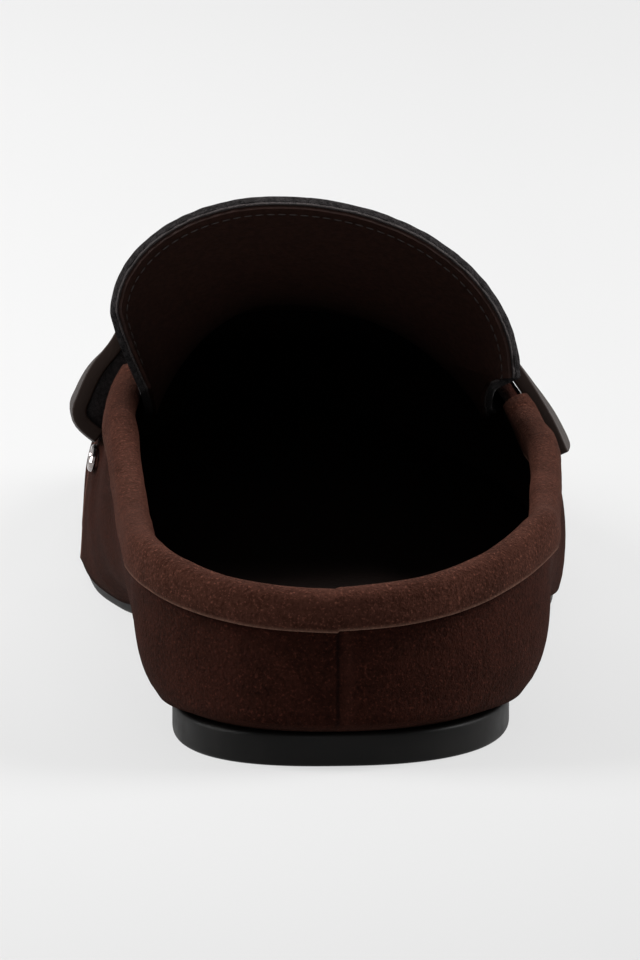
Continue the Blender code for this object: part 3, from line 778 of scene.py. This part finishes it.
def smooth_line(points, steps):
    """Catmull-Rom curve through points, with this many steps a span."""
    points = np.asarray(points, float)
    line = []
    for n in range(len(points) - 1):
        a, b = points[max(n - 1, 0)], points[n]
        c, d = points[n + 1], points[min(n + 2, len(points) - 1)]
        for k in range(steps):
            t = k / steps
            line.append(0.5 * (2 * b + (c - a) * t + (2 * a - 5 * b + 4 * c - d) * t ** 2
                               + (3 * b - 3 * c + d - a) * t ** 3))
    return np.array(line + [points[-1]])


def wall_below(side, place, top, drop):
    """Angles up the section of points this far under others, along the wall."""
    edge = last(side, place, top)
    low, high = np.zeros_like(top), top.copy()
    for _ in range(18):
        middle = (low + high) / 2
        far = np.linalg.norm(edge - last(side, place, middle), axis=-1) > drop
        low, high = np.where(far, middle, low), np.where(far, high, middle)
    return (low + high) / 2


def edge_frames(side, place):
    """Points of the top edge with the directions out of the wall and up, square to the edge."""
    top = top_angle(side, place)
    edge = last(side, place, top)
    along = np.gradient(edge, axis=0)
    along /= np.linalg.norm(along, axis=1, keepdims=True)
    out = last_normal(side, place, top)
    out -= along * np.sum(out * along, axis=1, keepdims=True)
    out /= np.linalg.norm(out, axis=1, keepdims=True)
    up = np.cross(out, along)
    up *= np.where(up[:, 2:] < 0, -1.0, 1.0)
    return top, edge, out, up


def collar_section():
    """The strip's outer skin and its seat on the wall, as distances out of the wall and up."""
    wall = WALL + QUARTER_EXTRA
    outer = wall + SEAT_GAP
    inner = -SEAT_GAP
    half = wall / 2 + SEAT_GAP
    roll = [
        (outer + COLLAR_EDGE_LIFT, -COLLAR_DROP_OUT),
        (outer + 0.9 * COLLAR_OUT, -COLLAR_DROP_OUT - 0.1 * MM),
        (outer + 1.08 * COLLAR_OUT, -COLLAR_DROP_OUT + 0.5 * MM),
        (outer + 0.93 * COLLAR_BULGE, -COLLAR_DROP_OUT * 0.76),
        (outer + COLLAR_BULGE, -COLLAR_DROP_OUT * 0.5),
    ]
    for step in range(COLLAR_TURNS + 1):
        turn = math.pi * step / COLLAR_TURNS
        reach = half + (COLLAR_BULGE * 0.92 if turn < math.pi / 2 else COLLAR_IN)
        rise = -COLLAR_LEAN + (COLLAR_TOP + COLLAR_LEAN) * math.sin(turn) ** 0.8
        roll.append((wall / 2 + reach * math.cos(turn), rise))
    roll += [
        (inner - COLLAR_IN, -COLLAR_DROP_IN * 0.55),
        (inner - COLLAR_IN * 0.8, -COLLAR_DROP_IN * 0.9),
        (inner - COLLAR_IN * 0.3, -COLLAR_DROP_IN),
    ]
    seat = [(inner, -COLLAR_DROP_IN), (inner, -COLLAR_DROP_IN * 0.5), (inner, SEAT_GAP), (outer, SEAT_GAP)]
    seat += [(outer, -COLLAR_DROP_OUT * share) for share in (0.25, 0.5, 0.75)]
    seat.append((outer, -COLLAR_DROP_OUT + 0.1 * MM))
    return smooth_line(roll, 3), np.array(seat)


def add_collar():
    places = station_places(COLLAR_HEEL_STEPS, COLLAR_SIDE_GAP, 4)
    places = np.append(places[places < COLLAR_END * LENGTH - 0.4 * MM], COLLAR_END * LENGTH)
    side = np.concatenate((-np.ones(len(places)), np.ones(len(places) - 1)))
    place = np.concatenate((places[::-1], places[1:]))
    top, edge, out, up = edge_frames(side, place)
    skin, seat = collar_section()
    section = np.concatenate((skin, seat))
    count = len(section)
    rings = np.empty((len(place), count, 3))
    for number, (away, rise) in enumerate(section):
        if rise < 0:
            rings[:, number] = last(side, place, wall_below(side, place, top, -rise), away)
        else:
            rings[:, number] = edge + out * away + up * rise
    steps = np.arange(count)
    ease = np.clip(np.minimum(steps, len(skin) - 1 - steps) / 6.0, 0, 1)
    middle = rings.mean(axis=1, keepdims=True)
    away = rings - middle
    away /= np.linalg.norm(away, axis=2, keepdims=True)
    flat = rings.reshape(-1, 3)
    pucker = COLLAR_PUCKER * wave(flat, 14 * MM, 5.0) + COLLAR_PUCKER_FINE * wave(flat, 4 * MM, 2.0)
    rings = rings + away * (pucker.reshape(len(place), count) * ease)[..., None]
    points = rings.reshape(-1, 3)
    faces = strip_faces(len(place), count, True)
    faces += [tuple(range(count)), tuple((len(place) - 1) * count + n for n in range(count))]
    cut = np.zeros(count)
    cut[:len(CUT_OUTSIDE)] = CUT_OUTSIDE
    cut[len(skin) - len(CUT_INSIDE):len(skin)] = CUT_INSIDE
    look = suede("collar suede", COLLAR_DARK, COLLAR_LIGHT, 0.50)
    base = look.shader.inputs["Base Color"].links[0].from_socket
    fray = look.ramp(look.noise(0.5 * MM, 3.0, 0.7), 0.25, 0.7, 0.35, 1.0)
    look.colour(look.mix(look.math("MULTIPLY", look.attribute("cut"), fray), base, COLLAR_CUT))
    cut = np.tile(cut, len(place))
    piece = add_piece("collar_suede", points, faces, look, "collar_suede", cut=cut)
    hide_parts("collar")


add_collar()


# Tongue
# A tall arch over the instep: black felted suede outside, a thin backing, and a brown leather lining
# sewn on a few millimetres inside the raw edge. The maker's words in the lining are left off.

TONGUE_THICKNESS = 2.3 * MM
TONGUE_RIDGE = -0.106
TONGUE_TOP = 1.261
TONGUE_MEDIAL = (0.347, 0.334)
TONGUE_LATERAL = (0.527, 0.526)
TONGUE_FOOT_IN = (0.066, 0.056)
TONGUE_FOOT_LEVEL = 0.687
TONGUE_FREE_BACK = 0.374
TONGUE_FREE_SIDE = 0.4135
TONGUE_CROWN = 0.667
TONGUE_HELD = (0.573, 0.550, 0.527, 0.504)
TONGUE_HELD_ANGLE = 34.0
TONGUE_INSET = 2.3 * MM
LINING_SET_BACK = 0.5 * MM
TONGUE_COLUMNS = 221
TONGUE_ROWS = 34
TONGUE_RAGGED = 0.22 * MM
TONGUE_RAGGED_SIZE = 2.2 * MM
FELT_THICKNESS = 1.10 * MM
BACKING_LAYER = (1.18 * MM, 1.55 * MM)
LINING_FROM = 1.60 * MM
FELT_DARK = (0.0030, 0.0025, 0.0025)
FELT_LIGHT = (0.027, 0.0235, 0.024)
BACKING_DARK = (0.008, 0.006, 0.006)
BACKING_LIGHT = (0.028, 0.020, 0.019)
LINING_DARK = (0.012, 0.0050, 0.0036)
LINING_LIGHT = (0.024, 0.0098, 0.0068)


def arch_points(share):
    """Points of the tongue's free edge, from its medial foot at -1 to its lateral foot at 1."""
    side = np.where(share < 0, -1.0, 1.0)
    width = np.where(share < 0, TONGUE_MEDIAL[0], TONGUE_LATERAL[0])
    height = np.where(share < 0, TONGUE_MEDIAL[1], TONGUE_LATERAL[1])
    foot_in = np.where(share < 0, TONGUE_FOOT_IN[0], TONGUE_FOOT_IN[1])
    spread = abs(share)
    along = TONGUE_FREE_BACK + (TONGUE_FREE_SIDE - TONGUE_FREE_BACK) * spread ** 1.4
    turn = math.pi / 2 * np.minimum(spread / TONGUE_CROWN, 1)
    down = np.maximum(spread - TONGUE_CROWN, 0) / (1 - TONGUE_CROWN)
    out = width * np.sin(turn) - foot_in * down ** 1.3
    level = TONGUE_TOP - height * (1 - np.cos(turn))
    level = level - (level - TONGUE_FOOT_LEVEL) * down
    x = (TONGUE_RIDGE + side * out) * BALL_WIDTH
    return np.stack((x, along * LENGTH - HEEL_CENTRE, level * INSTEP_HEIGHT), -1)


def tongue_rows(share, steps):
    """Rows of the tongue's outer face, from its held end inside the vamp to its free edge."""
    low = math.radians(TONGUE_HELD_ANGLE)
    side = np.where(share < 0, -1.0, 1.0)
    angle = math.pi / 2 - abs(share) * (math.pi / 2 - low)
    held = []
    for number, along in enumerate(TONGUE_HELD):
        inset = SEAT_GAP + TONGUE_INSET * (number / (len(TONGUE_HELD) - 1)) ** 1.5
        held.append(last(side, along * LENGTH, angle, -inset))
    start, end = held[-1], arch_points(share)
    lead = held[-1] - held[-2]
    lead /= np.linalg.norm(lead, axis=1, keepdims=True)
    chord = end - start
    reach = np.linalg.norm(chord, axis=1, keepdims=True)
    rows = list(smooth_line(held, 4)[:-1])
    for t in np.linspace(0, 1, steps):
        rows.append(start + t * t * (3 - 2 * t) * chord + t * (1 - t) ** 2 * lead * reach
                    - t * t * (1 - t) * chord * 1.1)
    return np.array(rows)


def grid_normals(grid):
    """Unit normals of a grid of points, pointing up or away from the foot."""
    normal = np.cross(np.gradient(grid, axis=1), np.gradient(grid, axis=0))
    normal /= np.linalg.norm(normal, axis=2, keepdims=True)
    centre = grid.mean(axis=(0, 1)) - np.array((0, 0, 20 * MM))
    flip = np.sum(normal * (grid - centre)) < 0
    return -normal if flip else normal


def sheet_solid(outside, inside):
    """Points and faces of the solid between two grids of the same size."""
    rows, columns = outside.shape[:2]
    points = np.concatenate((outside.reshape(-1, 3), inside.reshape(-1, 3)))
    size = rows * columns
    faces = strip_faces(rows, columns)
    faces += [tuple(size + n for n in face[::-1]) for face in faces]
    rim = [c for c in range(columns)] + [r * columns + columns - 1 for r in range(1, rows)]
    rim += [(rows - 1) * columns + c for c in range(columns - 2, -1, -1)]
    rim += [r * columns for r in range(rows - 2, 0, -1)]
    for n, a in enumerate(rim):
        b = rim[(n + 1) % len(rim)]
        faces.append((b, a, size + a, size + b))
    return points, faces


def felt_look():
    felt = Look("tongue felt", 0.95)
    fibre = felt.ramp(felt.noise(0.8 * MM, 4.0, 0.7), 0.3, 0.7)
    felt.colour(felt.mix(fibre, FELT_DARK, FELT_LIGHT))
    felt.bump(fibre, 0.3 * MM, 1.0)
    felt.set(Sheen_Weight=0.05, Specular_IOR_Level=0.05)
    return felt


def backing_look():
    backing = Look("tongue backing", 0.9)
    weave = backing.ramp(backing.noise(0.5 * MM, 2.0), 0.3, 0.7)
    backing.colour(backing.mix(weave, BACKING_DARK, BACKING_LIGHT))
    backing.bump(weave, 0.15 * MM, 0.8)
    return backing


def lining_look():
    lining = Look("lining leather", 0.62)
    grain = lining.ramp(lining.noise(1.0 * MM, 4.0, 0.6), 0.3, 0.7)
    lining.colour(lining.mix(grain, LINING_DARK, LINING_LIGHT))
    lining.bump(grain, 0.08 * MM, 0.6)
    lining.set(Specular_IOR_Level=0.12)
    return lining


def soften_edge(piece, name, width, segments):
    """Rounds the sharp edges of a piece."""
    bevel = piece.modifiers.new(name, "BEVEL")
    bevel.width = width
    bevel.segments = segments
    bevel.limit_method = "ANGLE"
    bevel.angle_limit = math.radians(50)


def add_tongue(rows, normal):
    edge_gap = np.linalg.norm(rows[-1] - rows[-2], axis=1).mean()
    inward = (rows[-2] - rows[-1]) / np.linalg.norm(rows[-2] - rows[-1], axis=1, keepdims=True)
    lining_back = min(LINING_SET_BACK, 0.8 * edge_gap)
    layers = (
        ("tongue_felt", 0.0, FELT_THICKNESS, 0.0, felt_look()),
        ("tongue_backing", *BACKING_LAYER, 0.0, backing_look()),
        ("tongue_lining", LINING_FROM, TONGUE_THICKNESS, lining_back, lining_look()),
    )
    for name, above, below, set_back, look in layers:
        grid = rows.copy()
        ragged = TONGUE_RAGGED * wave(rows[-1], TONGUE_RAGGED_SIZE, above / MM)[:, None]
        grid[-1] = rows[-1] + inward * (ragged + set_back)
        points, faces = sheet_solid(grid - normal * above, grid - normal * below)
        piece = add_piece(name, points, faces, look, "tongue_felt")
        soften_edge(piece, "soft edge", 0.15 * MM, 2)
        if name == "tongue_felt":
            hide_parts("tongue")


tongue_face = tongue_rows(np.linspace(-1, 1, TONGUE_COLUMNS), TONGUE_ROWS)
tongue_normals = grid_normals(tongue_face)
add_tongue(tongue_face, tongue_normals)


# Tongue stitches
# One row of dark brown thread that sews the lining to the felt, a few millimetres inside the tongue's
# free edge. Each stitch shows as a short thread with pointed ends.

STITCH_IN = 2.9 * MM
STITCH_PITCH = 2.1 * MM
STITCH_LONG = 1.5 * MM
STITCH_THICK = 0.35 * MM
STITCH_END = 6 * MM
STITCH_PROUD = 0.05 * MM
STITCH_STEPS = 6
THREAD_DARK = (0.010, 0.006, 0.005)
THREAD_LIGHT = (0.022, 0.013, 0.011)
ACROSS_THREAD = (0.31, 0.22, 0.92)


def tube(points, faces, line, radii, sides=6):
    """Adds a closed tube along a line of points to lists of points and faces."""
    first = len(points)
    for n, centre in enumerate(line):
        ahead = line[min(n + 1, len(line) - 1)] - line[max(n - 1, 0)]
        ahead /= np.linalg.norm(ahead)
        across = np.cross(ahead, ACROSS_THREAD)
        across /= np.linalg.norm(across)
        over = np.cross(ahead, across)
        for k in range(sides):
            turn = 2 * math.pi * k / sides
            points.append(centre + radii[n] * (math.cos(turn) * across + math.sin(turn) * over))
    for n in range(len(line) - 1):
        for k in range(sides):
            a, b = first + n * sides + k, first + n * sides + (k + 1) % sides
            faces.append((a, b, b + sides, a + sides))
    faces.append(tuple(first + k for k in range(sides))[::-1])
    faces.append(tuple(first + (len(line) - 1) * sides + k for k in range(sides)))


def add_tongue_stitches(rows, normal):
    """One row of thread along the free edge, on the lining."""
    line = []
    for column in range(rows.shape[1]):
        path = rows[::-1, column]
        length = np.concatenate(([0], np.cumsum(np.linalg.norm(np.diff(path, axis=0), axis=1))))
        spot = [np.interp(STITCH_IN, length, path[:, axis]) for axis in range(3)]
        line.append(np.array(spot) - normal[-4, column] * (TONGUE_THICKNESS + STITCH_PROUD))
    line = np.array(line)
    length = np.concatenate(([0], np.cumsum(np.linalg.norm(np.diff(line, axis=0), axis=1))))
    thread = Look("thread", 0.6)
    thread.colour(thread.mix(thread.noise(0.2 * MM), THREAD_DARK, THREAD_LIGHT))
    shares = [k / STITCH_STEPS for k in range(STITCH_STEPS + 1)]
    radii = [STITCH_THICK / 2 * math.sin(math.pi * (0.12 + 0.76 * share)) for share in shares]
    start = STITCH_END
    points, faces = [], []
    while start + STITCH_LONG < length[-1] - STITCH_END:
        spots = []
        for share in shares:
            spot = start + share * STITCH_LONG
            spots.append([np.interp(spot, length, line[:, axis]) for axis in range(3)])
        tube(points, faces, np.array(spots), radii)
        start += STITCH_PITCH
    add_piece("tongue_stitches", points, faces, thread, "tongue_felt")


add_tongue_stitches(tongue_face, tongue_normals)


# Strap
# The saddle strap: one band of smooth dark brown leather over the vamp, standing proud of it at both
# sides. Its cut edges are inked; the medial end turns back in and the lateral end is cut square.

STRAP_THICKNESS = 2.7 * MM
STRAP_PROUD = 4.7 * MM
STRAP_BACK = 0.479
STRAP_WIDTH = 0.103
STRAP_ROWS = 25
STRAP_DARK = (0.0095, 0.0052, 0.0038)
STRAP_LIGHT = (0.0170, 0.0096, 0.0070)
STRAP_STAND = (
    # degrees up the section, share of the stand-off
    (-27.5, 0.000),
    (-29.5, 0.850),
    (-33.0, 0.920),
    (-38.0, 0.860),
    (-44.0, 0.620),
    (-51.0, 0.680),
    (-58.0, 0.720),
    (-66.0, 0.580),
    (-74.0, 0.330),
    (-82.0, 0.150),
    (-90.0, 0.075),
    (82.0, 0.125),
    (74.0, 0.260),
    (66.0, 0.360),
    (58.0, 0.380),
    (50.0, 0.240),
    (42.0, 0.080),
    (34.0, 0.060),
    (27.0, 0.160),
    (21.0, 0.240),
)


def add_strap():
    degrees, stand = np.array(STRAP_STAND).T
    rows = []
    for along in np.linspace(STRAP_BACK, STRAP_BACK + STRAP_WIDTH, STRAP_ROWS):
        out = WALL + QUARTER_EXTRA + SEAT_GAP + stand * STRAP_PROUD
        spots = last(np.sign(degrees), along * LENGTH, np.radians(abs(degrees)), out)
        rows.append(smooth_line(spots, 7))
    inside = np.array(rows)
    normal = grid_normals(inside)
    points, faces = sheet_solid(inside + normal * STRAP_THICKNESS, inside)
    look = Look("strap leather", 0.42)
    pores = look.ramp(look.noise(0.8 * MM, 4.0, 0.6), 0.35, 0.75)
    clouds = look.noise(12 * MM, 3.0, 0.5)
    look.colour(look.mix(clouds, STRAP_DARK, STRAP_LIGHT))
    look.roughness(look.ramp(pores, 0.0, 1.0, 0.50, 0.64))
    look.bump(pores, 0.06 * MM, 0.5)
    look.set(Specular_IOR_Level=0.09)
    piece = add_piece("strap_leather", points, faces, look, "strap_leather")
    soften_edge(piece, "worn edge", 0.35 * MM, 3)
    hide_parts("strap")


add_strap()


# Strap underlay
# Black felt, the side of the tongue, is folded between the strap and the vamp where the strap stands
# away, so that no daylight shows between them.

UNDERLAY_BACK = 0.004
UNDERLAY_AIR = 0.12 * MM
UNDERLAY_ROWS = 21
UNDERLAY_DARK = (0.004, 0.0032, 0.0032)
UNDERLAY_LIGHT = (0.026, 0.021, 0.021)


def add_underlay(name, first, after):
    """Felt under the rows of STRAP_STAND from first up to, but not with, after."""
    degrees, stand = np.array(STRAP_STAND[first:after]).T
    below, above = [], []
    start = STRAP_BACK + UNDERLAY_BACK
    end = STRAP_BACK + STRAP_WIDTH - UNDERLAY_BACK
    for along in np.linspace(start, end, UNDERLAY_ROWS):
        wall = WALL + QUARTER_EXTRA
        sides = np.sign(degrees)
        angles = np.radians(abs(degrees))
        below.append(smooth_line(last(sides, along * LENGTH, angles, wall + UNDERLAY_AIR), 6))
        out = wall + SEAT_GAP - UNDERLAY_AIR + stand * STRAP_PROUD
        above.append(smooth_line(last(sides, along * LENGTH, angles, out), 6))
    points, faces = sheet_solid(np.array(above), np.array(below))
    look = Look(name + " felt", 0.95)
    fibre = look.ramp(look.noise(0.8 * MM, 4.0, 0.7), 0.3, 0.7)
    look.colour(look.mix(fibre, UNDERLAY_DARK, UNDERLAY_LIGHT))
    look.bump(fibre, 0.3 * MM, 1.0)
    look.set(Sheen_Weight=0.03, Specular_IOR_Level=0.05)
    add_piece(name, points, faces, look, "tongue_felt")


add_underlay("underlay_medial", 0, 11)
add_underlay("underlay_lateral", 11, 16)


# Link
# A small cast metal link, polished and plated in silver colour, sewn on by the strap's medial end.
# Its CAD solid keeps its place and gets the metal's finish here.

METAL_DARK = (0.20, 0.17, 0.165)
METAL_LIGHT = (0.42, 0.38, 0.37)


def finish_link():
    look = Look("silver metal", 0.22)
    wear = look.noise(1.5 * MM, 4.0, 0.6)
    look.set(Metallic=1.0)
    look.colour(look.mix(wear, METAL_DARK, METAL_LIGHT))
    look.roughness(look.ramp(wear, 0.3, 0.7, 0.16, 0.32))
    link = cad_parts["link"]
    link.data.materials.clear()
    link.data.materials.append(look.material)


finish_link()


# Stage and light
# A paper sweep that turns up beyond the shoe. Its pale look is painted light: the paper glows though it is
# no lamp, dimmer towards the camera and to the right, over a dark colour of its own, so that the shoe casts
# almost no shadow on it and the glow also lights the shoe from below.
# Then a faint even surround, a soft light at each side, one above and a weak one at the back, so that the
# sides are bright and the counter's middle is dark.

# The paper's own colour is dark; it looks pale because of the painted glow set below.
PAPER_DARK = (0.095, 0.095, 0.095)
PAPER_LIGHT = (0.105, 0.105, 0.105)
PAPER_PAINTED_LIGHT = 0.68
PAPER_HALF_WIDTH = 4.0
PAPER_FRONT = -3.0
PAPER_BEND_FROM = 2.2
PAPER_BEND = 1.2
PAPER_TOP = 4.0
PAPER_BEND_STEPS = 12


def add_floor():
    look = Look("paper", 0.95)
    look.colour(look.mix(look.noise(0.4, 2.0), PAPER_DARK, PAPER_LIGHT))
    look.set(Specular_IOR_Level=0.0)
    parts = look.tree.nodes.new("ShaderNodeSeparateXYZ")
    look.link(look.place, parts.inputs["Vector"])
    # Painted light: the paper's glow is dimmer towards the camera and to the right, standing in for how the
    # lamps would light it.
    depth = look.ramp(parts.outputs["Y"], -0.26, 0.10, 0.78, 1.0)
    across = look.ramp(parts.outputs["X"], -0.06, 0.07, 1.0, 0.93)
    painted_light = look.mix(look.math("MULTIPLY", depth, across), (0.0, 0.0, 0.0), (1.0, 1.0, 1.0))
    look.link(painted_light, look.shader.inputs["Emission Color"])
    look.set(Emission_Strength=PAPER_PAINTED_LIGHT)
    profile = [(PAPER_FRONT, 0.0), (PAPER_BEND_FROM, 0.0)]
    for step in range(1, PAPER_BEND_STEPS + 1):
        turn = math.pi / 2 * step / PAPER_BEND_STEPS
        rise = PAPER_BEND - PAPER_BEND * math.cos(turn)
        profile.append((PAPER_BEND_FROM + PAPER_BEND * math.sin(turn), rise))
    profile.append((PAPER_BEND_FROM + PAPER_BEND, PAPER_TOP))
    points = [(x, y, z) for y, z in profile for x in (-PAPER_HALF_WIDTH, PAPER_HALF_WIDTH)]
    faces = [(2 * n, 2 * n + 1, 2 * n + 3, 2 * n + 2) for n in range(len(profile) - 1)]
    mesh = bpy.data.meshes.new("paper")
    mesh.from_pydata(points, [], faces)
    mesh.shade_smooth()
    mesh.materials.append(look.material)
    paper = bpy.data.objects.new("paper", mesh)
    bpy.context.scene.collection.objects.link(paper)


def add_light(name, place, target, size, power):
    data = bpy.data.lights.new(name, "AREA")
    data.shape = "RECTANGLE"
    data.size, data.size_y = size
    data.energy = power
    lamp = bpy.data.objects.new(name, data)
    lamp.location = place
    lamp.rotation_euler = (Vector(target) - Vector(place)).to_track_quat("-Z", "Y").to_euler()
    bpy.context.scene.collection.objects.link(lamp)


def add_world():
    world = bpy.data.worlds.new("surround")
    world.use_nodes = True
    background = world.node_tree.nodes["Background"]
    background.inputs["Color"].default_value = (1.0, 1.0, 1.0, 1.0)
    background.inputs["Strength"].default_value = 0.20
    bpy.context.scene.world = world


add_floor()
add_light("left", (-1.25, 0.15, 0.95), (0.0, 0.0, 0.04), (0.8, 1.0), 44.0)
add_light("right", (1.25, 0.15, 0.95), (0.0, 0.0, 0.04), (0.8, 1.0), 48.0)
add_light("top", (0.0, 0.2, 1.6), (0.0, 0.1, 0.0), (1.2, 1.2), 10.0)
add_light("behind", (0.0, -1.7, 0.8), (0.0, 0.0, 0.03), (1.2, 0.8), 6.0)
add_world()
bpy.context.scene.view_settings.view_transform = "Standard"
